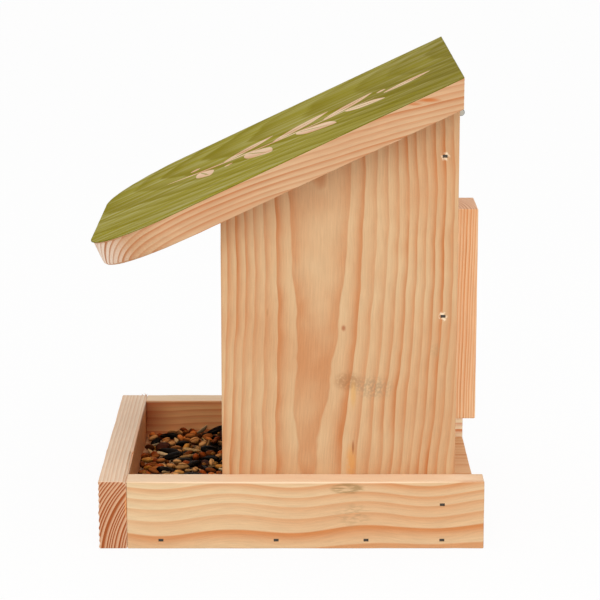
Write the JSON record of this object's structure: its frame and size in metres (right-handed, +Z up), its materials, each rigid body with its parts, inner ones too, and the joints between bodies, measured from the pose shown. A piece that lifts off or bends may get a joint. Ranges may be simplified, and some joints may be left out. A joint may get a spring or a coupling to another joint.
{
  "type": "bird feeder",
  "caption": "Wooden hopper bird feeder: open seed tray, clear front window, sloping green-stained roof that lifts on hinges, and a batten behind for fixing it to a wall.",
  "frame": {"origin": "middle of the tray's underside, where the feeder stands on a flat surface", "axes": "+Z up, -Y towards the front where the birds feed, +Y towards the wall behind, +X to the right seen along +Y"},
  "size_m": [0.188, 0.1975, 0.2385],
  "materials": {
    "pine": "planed bare softwood",
    "pine_pale": "planed bare softwood",
    "green_stain": "translucent green stain on softwood",
    "acrylic": "clear polished",
    "zinc": "zinc plated",
    "brad_steel": "dark",
    "seed": "mixed bird seed"
  },
  "bodies": {
    "house": {"front_board": "pine_pale", "rail_left": "pine", "rail_right": "pine", "floor_board": "pine", "side_panel_left": "pine", "side_panel_right": "pine", "back_panel": "pine", "wall_batten": "pine_pale", "window_pane": "acrylic", "front_brads": "brad_steel", "rail_brads_left": "brad_steel", "rail_brads_right": "brad_steel", "panel_brads_left": "brad_steel", "panel_brads_right": "brad_steel", "floor_brads": "brad_steel", "batten_screws": "zinc", "hinge_wall_leaf_left": "zinc", "hinge_wall_leaf_right": "zinc", "hinge_pin_left": "zinc", "hinge_pin_right": "zinc", "hinge_wall_screws_left": "zinc", "hinge_wall_screws_right": "zinc", "seed_mix": "seed"},
    "roof": {"roof_board": "green_stain", "hinge_roof_leaf_left": "zinc", "hinge_roof_leaf_right": "zinc", "hinge_roof_screws_left": "zinc", "hinge_roof_screws_right": "zinc"}
  },
  "joints": [
    {"name": "roof_hinge", "type": "hinge", "parent": "house", "child": "roof", "pos_m": [0, 0.0846, 0.2155], "axis": [-1, 0, 0], "range_deg": [0, 115]}
  ]
}
